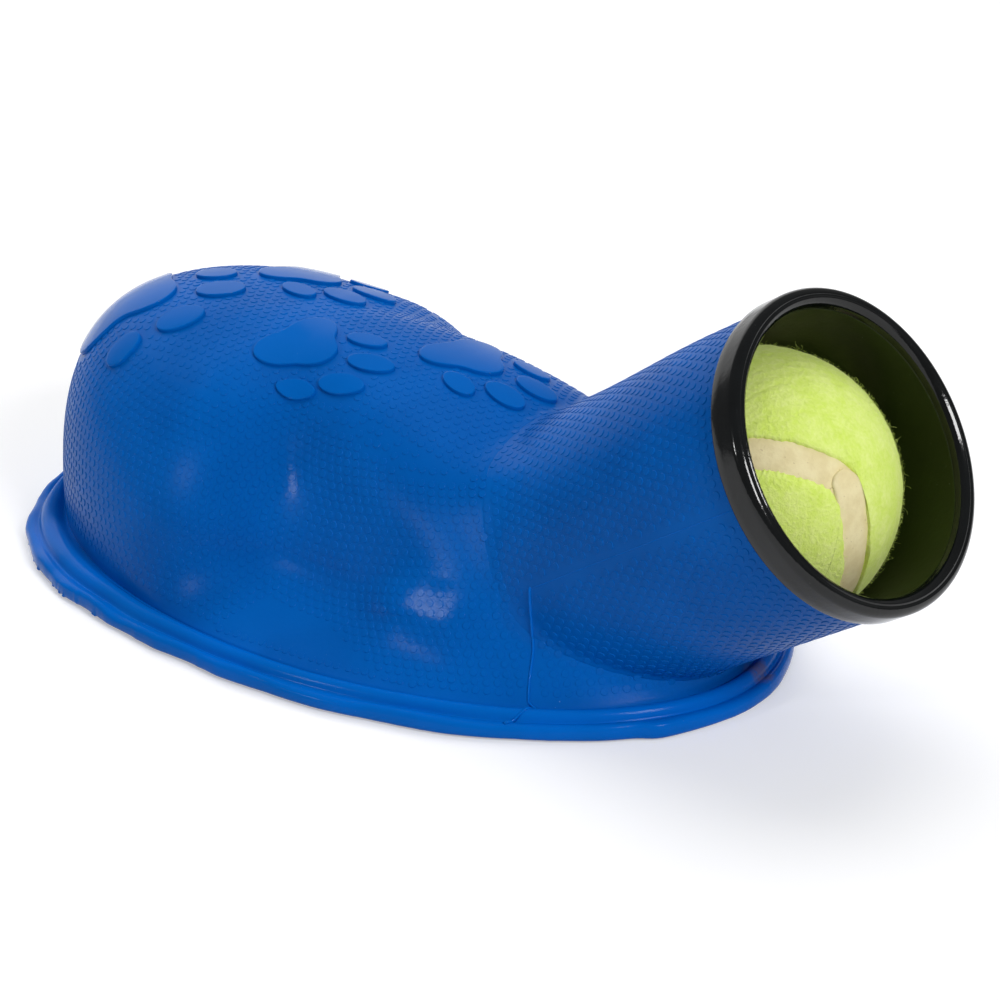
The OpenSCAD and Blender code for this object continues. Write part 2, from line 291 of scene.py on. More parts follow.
def shellPoint(angle, turn):
    n = squareness(angle)
    share = np.sin(turn) ** (2 / n)
    flare = waistAt(angle) * np.maximum(1 - share / dome["apron"], 0) ** 2
    r = (ovalRadius(angle, dome["footInset"]) - waistAt(angle)) * np.cos(turn) ** (2 / n) + flare
    x = dome["centre"] + r * np.cos(angle)
    fall = dome["ridgeDrop"] * (x - dome["centre"]) / (dome["length"] / 2 - dome["centre"])
    return np.stack([x, r * np.sin(angle), footZ + share * (dome["height"] - footZ - fall)], -1)


def slopeNormal(point, angle, turn):
    step, top = 0.004, math.pi / 2
    low, high = np.maximum(turn - step, step / 8), np.minimum(turn + step, top - step / 2)
    level = np.minimum(turn, top - step)
    return unit(np.cross(point(angle + step, level) - point(angle - step, level),
                         point(angle, high) - point(angle, low)))


# soft hollows and swellings that the wall took as it cooled: a line of points, reach and height
swells = [
    {"line": [(0, -39, 42), (17, -41, 34), (33, -42, 27)], "reach": 11, "height": -1.1},
    {"line": [(42, -44.5, 17), (54, -41.5, 17)], "reach": 9, "height": 2.5},
    {"line": [(5, 40, 41), (30, 42, 29)], "reach": 9, "height": -0.9},
    {"line": [(48, 44, 19), (60, 40, 17)], "reach": 9, "height": 0.7},
    {"line": [(-108, 12, 34), (-106, -18, 38)], "reach": 16, "height": -0.5},
]

# one flat that the near wall took: its middle, the ways it faces and runs, half its length and height
flat = {"at": (47.3, -43, 22.5), "facing": (0.173, -0.855, 0.489), "along": (19, 3.7, 4.1), "long": 11.5,
        "tall": 3.9}


def flatten(p, height):
    facing, along = unit(np.array(flat["facing"])), unit(np.array(flat["along"]))
    off = p - np.array(flat["at"])
    depth, run = off @ facing, off @ along
    aside = np.linalg.norm(off - depth[..., None] * facing - run[..., None] * along, axis=-1)
    share = hump(run, flat["long"]) * hump(aside, flat["tall"], 4)
    return height * (1 - share) - depth * share


def swellAt(p):
    total = np.zeros(p.shape[:-1])
    for swell in swells:
        away = np.full(p.shape[:-1], np.inf)
        for a, b in zip(swell["line"], swell["line"][1:]):
            a, b = np.array(a, float), np.array(b, float)
            t = np.clip((p - a) @ (b - a) / ((b - a) @ (b - a)), 0, 1)
            away = np.minimum(away, np.linalg.norm(p - a - t[..., None] * (b - a), axis=-1))
        total += swell["height"] * hump(away, swell["reach"])
    return flatten(p, total)


# the wall without the fillet towards the barrel
def wallPoint(angle, turn):
    p = shellPoint(angle, turn)
    return p + slopeNormal(shellPoint, angle, turn) * swellAt(p)[..., None]


# how far the barrel's top has sunk towards its root
def tubeSag(along, around):
    share = smoothStep((along - barrel["sagFrom"]) / barrel["sagRun"])
    return barrel["sag"] * share * np.maximum(np.cos(around), 0)


# distance to the barrel's surface, and the way round its axis
def barrelPlace(p):
    along = (p - muzzle) @ backAxis
    out = p - muzzle - along[..., None] * backAxis
    around = np.arctan2(out[..., 1], out @ topAxis)
    return np.linalg.norm(out, axis=-1) - barrel["radius"] + tubeSag(along, around), around


def filletSize(around):
    off = np.degrees(np.abs(wrap(around))) - barrel["filletAt"]
    return barrel["fillet"] + barrel["filletBroad"] * hump(off, barrel["filletSpread"])


def filletRise(gap, size):
    return size / 4 * np.clip(1 - gap / size, 0, 1) ** 2


# how far the fillet lifts the wall, and by how much the wall lies outside the barrel
def skinLift(p, normal):
    lift = np.zeros(p.shape[:-1])
    for _ in range(barrel["wallPasses"]):
        gap, around = barrelPlace(p + normal * lift[..., None])
        lift = filletRise(gap - lift, filletSize(around))
    return lift, gap - lift


def skinPoint(angle, turn):
    p = wallPoint(angle, turn)
    normal = slopeNormal(shellPoint, angle, turn)
    return p + normal * skinLift(p, normal)[0][..., None]


def newPiece(name, points, faces, finish):
    mesh = bpy.data.meshes.new(name)
    mesh.from_pydata((np.asarray(points, float) * mm).tolist(), [], faces)
    mesh.materials.append(finish)
    mesh.polygons.foreach_set("use_smooth", [True] * len(mesh.polygons))
    mesh.validate()
    made = bpy.data.objects.new(name, mesh)
    scene.collection.objects.link(made)
    return made


# quads between rings of equal length; closed joins the last ring to the first
def ringFaces(rings, count, closed=False, start=0):
    faces = []
    for i in range(rings if closed else rings - 1):
        p, q = start + i * count, start + ((i + 1) % rings) * count
        faces += [(p + j, p + (j + 1) % count, q + (j + 1) % count, q + j) for j in range(count)]
    return faces


# rings whose first and last are closed by one face each
def cappedFaces(rings, count, start=0):
    last = start + (rings - 1) * count
    ends = [tuple(range(start, start + count))[::-1], tuple(range(last, last + count))]
    return ringFaces(rings, count, start=start) + ends


# a piece whose rings close on themselves; inward turns the faces of rings that run the other way
def ringPiece(name, rings, finish, inward=False):
    faces = ringFaces(len(rings), len(rings[0]), True)
    return newPiece(name, np.concatenate(rings), turned(faces) if inward else faces, finish)


# triangles from a ring to one point
def fan(start, count, tip):
    return [(start + j, start + (j + 1) % count, tip) for j in range(count)]


def turned(faces):
    return [f[::-1] for f in faces]


# dome skin: one closed shell, with its foot sunk behind the bead
skin = {
    "angles": 480, "rings": 92, "innerStep": 4, "sink": 2.4, "crowd": 0.5, "cut": 33.2, "cutSides": 96,
    "cutReach": (20, 130), "footTurns": (0.0008, 0.12, 120), "wallTurns": (0.125, math.pi / 2 - 0.006, 340),
}
skinAngles = roundTurn(skin["angles"]) - math.pi
skinAngles = skinAngles - skin["crowd"] * np.sin(skinAngles)     # closer together towards the barrel
fineTurns = np.concatenate([np.linspace(*skin["footTurns"]), np.linspace(*skin["wallTurns"])])
fineArc = runAlong(wallPoint(skinAngles[:, None], fineTurns[None, :]))


def turnAtShare(count):
    share = np.linspace(0, 1, count)
    return np.array([np.interp(share * arc[-1], arc, fineTurns) for arc in fineArc])


def dressDome():
    n, rings = skin["angles"], skin["rings"]
    turns = turnAtShare(rings)
    outer = skinPoint(skinAngles[:, None], turns)
    picked = [0, *range(skin["innerStep"], rings - 1, skin["innerStep"]), rings - 1]
    inner = (outer - slopeNormal(shellPoint, skinAngles[:, None], turns) * dome["wall"])[:, picked]
    foot = outer[:, 0] - [0, 0, skin["sink"]]
    heel = inner[:, 0].copy()
    heel[:, 2] = foot[:, 2]
    stack, lining = [foot, *outer.swapaxes(0, 1)], [heel, *inner.swapaxes(0, 1)]
    top = np.array([[dome["centre"], 0, dome["height"]]])
    points = np.concatenate(stack + lining + [top, top - [0, 0, dome["wall"]]])
    second, last = len(stack) * n, len(points) - 2
    faces = ringFaces(len(stack), n) + turned(ringFaces(len(lining), n, start=second))
    faces += [((j + 1) % n, j, second + j, second + (j + 1) % n) for j in range(n)]
    faces += fan(second - n, n, last) + turned(fan(last - n, n, last + 1))
    return newPiece("domeSkin", points, faces, shellVinyl)


def barrelOut(arounds):
    return np.cos(arounds)[:, None] * topAxis + np.sin(arounds)[:, None] * sideAxis


# points round the barrel's axis
def barrelRing(along, radius, arounds):
    along, radius = np.asarray(along)[..., None], np.asarray(radius)[..., None]
    return muzzle + along * backAxis + radius * barrelOut(arounds)


def bakeModifiers(piece):
    graph = bpy.context.evaluated_depsgraph_get()
    mesh = bpy.data.meshes.new_from_object(piece.evaluated_get(graph), preserve_all_data_layers=True,
                                           depsgraph=graph)
    piece.modifiers.clear()
    piece.data = mesh


def cutBarrelHole(piece):
    arounds = roundTurn(skin["cutSides"])
    ends = np.concatenate([barrelRing(along, skin["cut"], arounds) for along in skin["cutReach"]])
    cutter = newPiece("barrelCutter", ends, turned(cappedFaces(2, skin["cutSides"])), shellVinyl)
    cut = piece.modifiers.new("barrelHole", "BOOLEAN")
    cut.operation, cut.solver, cut.object = "DIFFERENCE", "EXACT", cutter
    bakeModifiers(piece)
    bpy.data.objects.remove(cutter)


domeSkin = dressDome()
cutBarrelHole(domeSkin)
print("dome skin", len(domeSkin.data.polygons), "faces")

# barrel tube, with its half of the fillet
tube = {"plainSteps": 10, "steps": 116, "plain": 36, "sides": 320, "floor": 2.1, "clear": 0.02,
        "innerStep": 8, "wallRings": 80}
plainWall = wallPoint(skinAngles[:, None], turnAtShare(tube["wallRings"]))
wallTree = BVHTree.FromPolygons([Vector(p) for p in plainWall.swapaxes(0, 1).reshape(-1, 3)],
                                ringFaces(tube["wallRings"], skin["angles"]))


def wallGap(p):
    found = []
    for q in p:
        spot, normal, _, far = wallTree.find_nearest(Vector(q))
        found.append(math.copysign(far, (Vector(q) - spot).dot(normal)))
    return np.array(found)


tubeAlong = np.concatenate([np.linspace(barrel["front"], tube["plain"], tube["plainSteps"], endpoint=False),
                            np.linspace(tube["plain"], barrel["length"], tube["steps"])])
tubeArounds = roundTurn(tube["sides"]) - math.pi


# how far the tube stands out from its plain radius, and how far it lies outside the wall
def tubeLift(along, arounds):
    lift, sag = np.zeros(len(arounds)), tubeSag(along, arounds)
    for _ in range(barrel["tubePasses"]):
        gap = wallGap(barrelRing(along, barrel["radius"] - sag + lift, arounds))
        lift = filletRise(gap - lift, filletSize(arounds))
    return lift - sag, gap - lift


def tubePoints(along, arounds):
    return barrelRing(along, barrel["radius"] + tubeLift(along, arounds)[0], arounds)


def dressTube():
    bore = barrel["bore"] + tube["clear"]
    rings = [tubePoints(along, tubeArounds) for along in tubeAlong]
    inward = [*tubeAlong[::-tube["innerStep"]], barrel["front"]]
    rings += [barrelRing(along, bore, tubeArounds) for along in inward]
    for ring in rings:
        ring[:, 2] = np.maximum(ring[:, 2], tube["floor"])
    return ringPiece("barrelTube", rings, shellVinyl)


barrelTube = dressTube()
print("barrel tube made")

# flange with its bead, trimmed by hand, so that the edge wanders
flange = {
    "step": 0.4, "fine": (-178, -95), "finer": 3, "limits": (-2.4, 1.4), "weld": 0.05,
    "sheetInset": 1.5, "sheetStep": 0.6,
    "slow": {"waves": [5, 9, 14, 23], "seed": 3, "height": 0.24},
    "quick": {"waves": [37, 53, 71], "seed": 4, "height": 0.024},
    "rise": {"waves": [7, 11, 17, 29], "seed": 8, "height": 0.2},
    "nicks": 60, "nickWide": (0.004, 0.016), "nickDeep": (-0.12, 0.12), "nickSeed": 5,
    "tear": -12, "tearIn": 0.5, "tearOut": -1.4, "tearStep": 0.9, "tearRun": 6,
    "tags": 16, "tagLong": (0.18, 0.6), "tagWide": 0.0045, "tagSeed": 6, "tagZone": (0.2, 1),
    "wrinkles": -153, "wrinkleSpread": 17, "wrinkleInset": 6, "wrinklePitch": 0.85, "wrinkleHeight": 0.2,
}


def slowNoise(angle, waves, seed, height):
    draw = np.random.default_rng(seed)
    total = np.zeros_like(angle)
    for k in waves:
        total += draw.normal() * np.sin(k * angle + draw.uniform(0, math.tau)) / math.sqrt(len(waves))
    return height * total


# how far the edge runs inside the flange: it wanders, is torn in one place and nicked
def edgeWander(angle):
    wander = slowNoise(angle, **flange["slow"]) + slowNoise(angle, **flange["quick"])
    past = np.degrees(angle) - flange["tear"]
    over = (1 + np.tanh(past / flange["tearStep"])) / 2
    tear = flange["tearIn"] * (1 - over) + flange["tearOut"] * over
    wander += tear * hump(np.abs(past), flange["tearRun"], 1)
    draw = np.random.default_rng(flange["nickSeed"])
    for _ in range(flange["nicks"]):
        at = draw.uniform(-math.pi, math.pi)
        wide = draw.uniform(*flange["nickWide"])
        wander += draw.uniform(*flange["nickDeep"]) * hump(wrap(angle - at), wide)
    return np.clip(wander, *flange["limits"])


# thin tags of flash that were left low on the edge
def edgeTags(angle):
    draw = np.random.default_rng(flange["tagSeed"])
    total = np.zeros_like(angle)
    for at in np.radians(draw.uniform(*flange["fine"], flange["tags"])):
        total += draw.uniform(*flange["tagLong"]) * hump(angle - at, flange["tagWide"])
    return total


def dressFlange():
    coarse = np.arange(-180, 180, flange["step"])
    fineFrom, fineTo = flange["fine"]
    outside = (coarse < fineFrom) | (coarse >= fineTo)
    finer = np.arange(fineFrom, fineTo, flange["step"] / flange["finer"])
    angle = np.radians(np.sort(np.concatenate([coarse[outside], finer])))
    wander, tags, rise = edgeWander(angle), edgeTags(angle), slowNoise(angle, **flange["rise"])
    tagLow, tagHigh = flange["tagZone"]
    zone = hump(np.degrees(angle) - flange["wrinkles"], flange["wrinkleSpread"], 4)
    run = runAlong(flangePoint(angle, flange["wrinkleInset"], 0))
    ripple = zone * flange["wrinkleHeight"] * np.sin(math.tau * run / flange["wrinklePitch"])
    weld, top, edge = dome["sheet"] + flange["weld"], flangeTop, flange["sheetInset"]
    # inset from the edge, height, and the share of the edge's wander, its rise and the wrinkles, if any
    profile = [
        (8.2, weld), (4.0, weld), (edge, weld, 1), (edge, 0.3, 1), (0.9, 0.25, 1), (0.45, 0.4, 1),
        (0.15, 0.8, 1, 0.1), (0.0, 1.5, 1, 0.2), (0.02, top - 1.5, 1, 0.5), (0.16, top - 0.9, 1, 0.8),
        (0.45, top - 0.4, 1, 1), (0.9, top - 0.12, 0.8, 1), (1.4, top, 0.5, 1), (1.95, top - 0.04, 0.2, 0.8),
        (2.4, top - 0.22, 0.1, 0.4), (2.7, top - 0.4, 0, 0.1), (2.92, top - 0.28), (3.1, top + 0.25),
        (3.35, top + 1.0, 0, 0.1), (3.75, top + 1.65, 0, 0.15, 0.1), (4.3, top + 2.08, 0, 0.2, 0.3),
        (4.8, top + 2.2, 0, 0.2, 0.5), (5.3, top + 2.12, 0, 0.2, 0.8), (5.75, top + 1.85, 0, 0.15, 1),
        (6.15, top + 1.4, 0, 0.1, 1), (6.5, top + 0.95, 0, 0, 0.9), (6.85, top + 0.72, 0, 0, 0.4),
        (7.4, top + 0.7), (8.2, top + 0.4),
    ]
    rings = []
    for inset, z, *shares in profile:
        w, r, k = [*shares, 0, 0, 0][:3]
        inset = inset + w * wander - tags * (tagLow < z < tagHigh)
        rings.append(flangePoint(angle, inset, z + r * rise + k * ripple))
    return ringPiece("flangeRing", rings, flangeVinyl)


flangeRing = dressFlange()
print("flange ring made")


# floor sheet, welded under the flange and trimmed with it
def dressSheet():
    angle = np.radians(np.arange(-180, 180, flange["sheetStep"]))
    wander = edgeWander(angle)
    top, edge, count = dome["sheet"], flange["sheetInset"], len(angle)
    # inset from the flange's edge, height and share of the edge's wander, over the top, then back in below
    profile = [
        (55, top, 0), (30, top, 0), (edge + 0.5, top, 1), (edge + 0.05, top - 0.1, 1),
        (edge + 0.05, 0.35, 1), (edge + 0.3, 0.05, 1), (edge + 0.7, 0, 1), (4.5, 0, 0), (5.4, 0.3, 0),
        (6.4, 0.3, 0), (7.6, 0, 0), (30, 0, 0), (55, 0, 0),
    ]
    rings = [flangePoint(angle, inset + w * wander, z) for inset, z, w in profile]
    points = np.concatenate(rings + [[[0, 0, 0]], [[0, 0, top]]])
    under = len(rings) * count
    below = ringFaces(len(rings), count) + fan(under - count, count, under)
    return newPiece("floorSheet", points, turned(below) + fan(0, count, under + 1), flangeVinyl)


floorSheet = dressSheet()

# raised paw prints: the large one has round toes, the others long ones
paws = {
    "prints": [
        {"at": (-79.3, -15.6), "heading": 0, "size": 1.52, "toe": (6.4, 8.4), "lean": -0.45, "turnIn": -44.7,
         "places": {0: (-61.9, -34.0), 1: (-52.7, -22.9), 2: (-55.0, -6.8)}},
        {"at": (-49.1, 18.4), "heading": -5.5, "size": 1.05, "toe": (12.8, 7), "lean": 0.19, "turnIn": 8},
        {"at": (-16.9, -15.4), "heading": -7.2, "size": 1.02, "toe": (12.6, 6.6), "lean": 0, "turnIn": 20},
        {"at": (16.2, 8), "heading": -8.4, "size": 1.02, "toe": (12.8, 7), "lean": 0.19, "turnIn": 0},
    ],
    "toes": [(-48.5, 15.2, 0.87), (-14, 20, 1), (14, 20, 1), (48.5, 15.2, 0.87)],     # way, reach and size
    "mean": 9.7, "point": 0.2, "broad": 0.06, "heel": 0.07, "height": 0.9, "sunk": 0.5, "points": 72,
    "paces": 8,
    "under": (0.5, 1.0), "crown": (0.72, 0.48, 0.24),     # rings of the floor and of the top
    # inset and share of the height
    "edge": [(0, 0), (0.06, 0.72), (0.1, 0.88), (0.2, 0.97), (0.36, 1), (0.7, 1)],
}
roof = {"rim": 0.9999, "lowTurn": 0.001, "highTurn": skin["wallTurns"][1], "step": 0.35, "slopeStep": 0.4}


def roofParams(x, y):
    angle = np.arctan2(y, x - dome["centre"])
    n = squareness(angle)
    core = ovalRadius(angle, dome["footInset"]) - waistAt(angle)
    rho = np.minimum(np.hypot(x - dome["centre"], y) / core, roof["rim"])
    share = (1 - rho ** n) ** (1 / n)
    return angle, np.clip(np.arcsin(share ** (n / 2)), roof["lowTurn"], roof["highTurn"])


def roofPoint(x, y, height):
    here = skinPoint(*roofParams(x, y))
    ahead, left = skinPoint(*roofParams(x + roof["step"], y)), skinPoint(*roofParams(x, y + roof["step"]))
    return here + unit(np.cross(ahead - here, left - here)) * height


def roofHeight(x, y):
    return shellPoint(*roofParams(x, y))[..., 2]


# walks over the roof from one place, so that a print keeps its size on the slopes
def walkRoof(middle, way, far):
    x, y, h = np.full_like(way, middle[0]), np.full_like(way, middle[1]), roof["slopeStep"]
    ahead = np.stack([np.cos(way), np.sin(way), np.zeros_like(way)], -1)
    for _ in range(paws["paces"]):
        slopeX = (roofHeight(x - h, y) - roofHeight(x + h, y)) / (2 * h)
        slopeY = (roofHeight(x, y - h) - roofHeight(x, y + h)) / (2 * h)
        normal = unit(np.stack([slopeX, slopeY, np.ones_like(x)], -1))
        ahead = unit(ahead - normal * (ahead * normal).sum(-1, keepdims=True))
        x, y = x + ahead[:, 0] * far / paws["paces"], y + ahead[:, 1] * far / paws["paces"]
    return np.stack([x, y], -1)


def mainOutline(middle, heading, size):
    b = roundTurn(paws["points"])
    r = size * paws["mean"] * (1 + paws["point"] * np.cos(3 * b) - paws["broad"] * np.cos(2 * b)
                               - paws["heel"] * np.cos(b))
    return walkRoof(middle, heading + b, r) - middle


def toeOutline(middle, heading, length, width):
    b = roundTurn(paws["points"] // 2)
    u, v = length / 2 * np.cos(b), width / 2 * np.sin(b)
    return walkRoof(middle, heading + np.arctan2(v, u), np.hypot(u, v)) - middle


pads = []
for mark in paws["prints"]:
    middle, ahead, size = np.array(mark["at"], float), math.radians(mark["heading"]), mark["size"]
    pads.append((middle, mainOutline(middle, ahead, size)))
    for k, (spread, reach, toeSize) in enumerate(paws["toes"]):
        way = np.array([ahead + math.radians(spread)])
        toe = np.array(mark.get("places", {}).get(k, walkRoof(middle, way, size * reach)[0]), float)
        heading = ahead + math.radians(spread * mark["lean"] + mark["turnIn"])
        pads.append((toe, toeOutline(toe, heading, *[size * toeSize * span for span in mark["toe"]])))


# a pad: wall, rolled edge and top, with its floor sunk in the skin
def dressPads():
    points, faces = [], []
    for middle, outline in pads:
        reach = np.linalg.norm(outline, axis=1).mean()
        rows = [(share, -paws["sunk"]) for share in paws["under"]]
        rows += [(1 - inset / reach, level * paws["height"]) for inset, level in paws["edge"]]
        rows += [(share, paws["height"]) for share in paws["crown"]]
        start, count = len(points), len(outline)
        for share, height in rows:
            points.extend(roofPoint(*(middle + outline * share).T, height))
        for height in (-paws["sunk"], paws["height"]):
            points.extend(roofPoint(middle[:1], middle[1:], height))
        low = start + len(rows) * count
        faces += ringFaces(len(rows), count, start=start)
        faces += turned(fan(start, count, low)) + fan(low - count, count, low + 1)
    return newPiece("pawPads", points, faces, padVinyl)


pawPads = dressPads()
print("paw pads", len(pads))

# flash on the mould's parting line: along the barrel's sides, then down over the wall and the bead
flash = {
    "width": 0.9, "height": 0.42, "thinWidth": 0.4, "faint": 0.1, "sink": 0.35, "ends": 0.02,
    "shoulder": 0.6, "least": 0.75, "uneven": 0.5, "seed": 21, "side": (9, 74, 90), "x": 73.4,
    "flankZ": (31.6, 18.5, 18),
    "wallTurns": (0.185, 0.012, 30), "wallAngle": -18.35, "bow": 1.5, "foot": -20.9, "bead": -20.3,
    "lip": -24.4, "beadOut": (0.35, 0.2, 1.0),
    "over": [(6.6, 0.85), (6.1, 1.45), (5.5, 2.0), (4.8, 2.2), (4.1, 1.95), (3.5, 1.3), (3.1, 0.3),
             (2.6, -0.3), (1.9, -0.02), (1.3, 0.0)],     # inset and rise where it runs over the bead
}


def skinSpots(angle, turn):
    p = wallPoint(angle, turn)
    clear = skinLift(p, slopeNormal(shellPoint, angle, turn))[1]
    return skinPoint(angle, turn), slopeNormal(skinPoint, angle, turn), clear


def sweepRidge(line, normals, width, height):
    side = unit(np.cross(normals, unit(np.gradient(line, axis=0)))) * width
    uneven = np.random.default_rng(flash["seed"]).random(len(line))
    tall = height * (flash["least"] + flash["uneven"] * uneven)[:, None]
    tall[[0, -1]] = flash["ends"]
    low, shoulder = normals * flash["sink"], normals * tall * flash["shoulder"]
    return np.stack([line - side / 2 - low, line - side / 4 + shoulder, line + normals * tall,
                     line + side / 4 + shoulder, line + side / 2 - low], 1)


# from the barrel's side line straight down its flank, onto the wall, then askew over the bead to the lip
def drop(hand):
    z = np.linspace(*flash["flankZ"])
    off = np.stack([np.full_like(z, flash["x"]), np.zeros_like(z), z], -1) - muzzle
    along, around = off @ backAxis, hand * np.arccos(off @ topAxis / barrel["radius"])
    flank = np.concatenate([tubePoints(a, np.array([w])) for a, w in zip(along, around)])
    turn = np.linspace(*flash["wallTurns"])
    share = (1 - turn / turn[0]) ** flash["bow"]
    angle = np.radians(flash["wallAngle"] + (flash["foot"] - flash["wallAngle"]) * share)
    wall, wallOut, _ = skinSpots(-hand * angle, turn)
    over = flash["over"]
    skew = -hand * np.radians(np.linspace(flash["bead"], flash["lip"], len(over)))
    bead = [flangePoint(a, inset, flangeTop + rise) for a, (inset, rise) in zip(skew, over)]
    beadOut = np.tile(unit(np.array(flash["beadOut"]) * [1, hand, 1]), (len(over), 1))
    return np.concatenate([flank, wall, bead]), np.concatenate([barrelOut(around), wallOut, beadOut])


def sideLine(hand):
    around = np.array([hand * math.pi / 2])
    line = np.concatenate([tubePoints(along, around) for along in np.linspace(*flash["side"])])
    return line, np.tile(hand * sideAxis, (len(line), 1))


flashLines = []
for hand in (-1, 1):
    flashLines.append((*sideLine(hand), flash["thinWidth"], flash["faint"]))
    flashLines.append((*drop(hand), flash["width"], flash["height"]))


def dressFlash():
    points, faces = [], []
    for ridge in flashLines:
        rows = sweepRidge(*ridge)
        faces += turned(cappedFaces(*rows.shape[:2], start=len(points)))
        points.extend(rows.reshape(-1, 3))
    return newPiece("partingFlash", points, faces, flangeVinyl)


partingFlash = dressFlash()
print("flash lines made")

# grip pips: flat round pimples in staggered rows
pips = {
    "pitch": 2.65, "row": 2.3, "base": 1.1, "top": 0.84, "height": 0.16, "sink": 0.25, "sides": 9,
    "least": 0.93, "most": 1.05, "seed": 4, "stray": 0.08, "straySeed": 11, "crowd": 0.72, "padGap": 0.9,
    "flatFrom": 0.8, "footGap": 4.5, "loop": 1440, "across": (-105, 70), "aside": (-60, 60),
    "oval": (100, 62), "rimGap": 4.6, "rootGap": 1, "wallGap": 0.2, "lowest": 5, "slopeStep": 0.6,
    "slopeTurn": 0.017,
}
chance = np.random.default_rng(pips["straySeed"])


def insideAnyPad(x, y):
    hit = np.zeros(len(x), bool)
    for middle, outline in pads:
        dx, dy = x - middle[0], y - middle[1]
        ways = np.arctan2(outline[:, 1], outline[:, 0])
        order = np.argsort(ways)
        reach = np.linalg.norm(outline, axis=1)[order]
        edge = np.interp(np.arctan2(dy, dx), ways[order], reach, period=math.tau)
        hit |= np.hypot(dx, dy) < edge + pips["padGap"]
    return hit


# rows that climb the wall from the foot, each starting at the back
def wallRows():
    loop = roundTurn(pips["loop"]) - math.pi
    for row in range(int(fineArc[:, -1].max() / pips["row"])):
        s = pips["footGap"] + row * pips["row"]
        turns = np.array([np.interp(s, arc, fineTurns) for arc in fineArc])
        turnsLoop = np.interp(loop, skinAngles, turns, period=math.tau)
        overLoop = np.interp(loop, skinAngles, (s > fineArc[:, -1]).astype(float), period=math.tau) > 0
        line = skinPoint(loop, turnsLoop)
        run = runAlong(line)
        total = run[-1] + np.linalg.norm(line[0] - line[-1])
        first = 1 / 4 + row % 2 / 2     # every other row starts half a pitch later
        marks = np.arange(first, total / pips["pitch"] / 2) * pips["pitch"]
        for wanted in (marks, total - marks - pips["pitch"] / 2):
            angle, turn, gone = [np.interp(wanted, run, values) for values in (loop, turnsLoop, overLoop)]
            p, n, clear = skinSpots(angle, turn)
            keep = (gone == 0) & (clear > 0) & (n[:, 2] < pips["flatFrom"]) & ~insideAnyPad(*p[:, :2].T)
            yield p[keep], n[keep]


# a straight lattice over the flatter top
def topRows():
    xs, ys = np.arange(*pips["across"], pips["pitch"]), np.arange(*pips["aside"], pips["row"])
    x, y = np.meshgrid(xs, ys)
    x = x + (np.arange(len(ys)) % 2)[:, None] * pips["pitch"] / 2
    inside = (x / pips["oval"][0]) ** 2 + (y / pips["oval"][1]) ** 2 < 1
    p, n, clear = skinSpots(*roofParams(x[inside], y[inside]))
    keep = (n[:, 2] >= pips["flatFrom"]) & (clear > 0) & ~insideAnyPad(*p[:, :2].T)
    yield p[keep], n[keep]


def barrelRows():
    count = round(math.tau * barrel["radius"] / pips["pitch"])
    alongs = np.arange(barrel["front"] + pips["rimGap"], barrel["length"] - pips["rootGap"], pips["row"])
    for row, along in enumerate(alongs):
        arounds = (np.arange(count) + row % 2 / 2) * math.tau / count - math.pi
        p, clear = tubePoints(along, arounds), tubeLift(along, arounds)[1]
        ahead = tubePoints(along + pips["slopeStep"], arounds)
        n = unit(np.cross(tubePoints(along, arounds + pips["slopeTurn"]) - p, ahead - p))
        n *= np.sign((n * barrelOut(arounds)).sum(1))[:, None]
        keep = (clear > pips["wallGap"]) & (p[:, 2] > pips["lowest"])
        yield p[keep], n[keep]


# drops the spots of the rows that crowd others; those in taken stay
def thinOut(rows, taken):
    spots, normals = [np.concatenate(part) for part in zip(*rows)]
    least = pips["crowd"] * pips["pitch"]
    cells, keep = {}, []
    for i, p in enumerate([*taken, *spots]):
        cell = tuple(math.floor(c / least) for c in p)
        around = product(*[(c - 1, c, c + 1) for c in cell])
        close = [q for other in around for q in cells.get(other, ())]
        keep.append(i < len(taken) or all(math.dist(p, q) >= least for q in close))
        if keep[-1]:
            cells.setdefault(cell, []).append(p)
    keep = keep[len(taken):]
    return spots[keep], normals[keep]


# a node tree with its named inputs, and the wire of its first one
def newTree(name, inputs):
    tree = bpy.data.node_groups.new(name, "GeometryNodeTree")
    for label, kind in {"Geometry": "Geometry", **inputs, "Finish": "Material"}.items():
        tree.interface.new_socket(label, in_out="INPUT", socket_type="NodeSocket" + kind)
    tree.interface.new_socket("Geometry", in_out="OUTPUT", socket_type="NodeSocketGeometry")
    return Wire(tree, tree.nodes.new("NodeGroupInput").outputs["Geometry"])


# each tree ends with real geometry and its finish
def closeTree(given, copies):
    real = given.node("GeometryNodeRealizeInstances", {}, {"Geometry": copies})
    done = given.node("GeometryNodeSetMaterial", {}, {"Geometry": real, "Material": given["Finish"]})
    given.tree.links.new(done.socket, given.tree.nodes.new("NodeGroupOutput").inputs["Geometry"])
    return given.tree


def runTree(piece, tree, values):
    modifier = piece.modifiers.new(tree.name, "NODES")
    modifier.node_group = tree
    for item in tree.interface.items_tree:
        if item.in_out == "INPUT" and item.name in values:
            modifier[item.identifier] = values[item.name]
    bakeModifiers(piece)
    print(piece.name, len(piece.data.polygons), "faces")


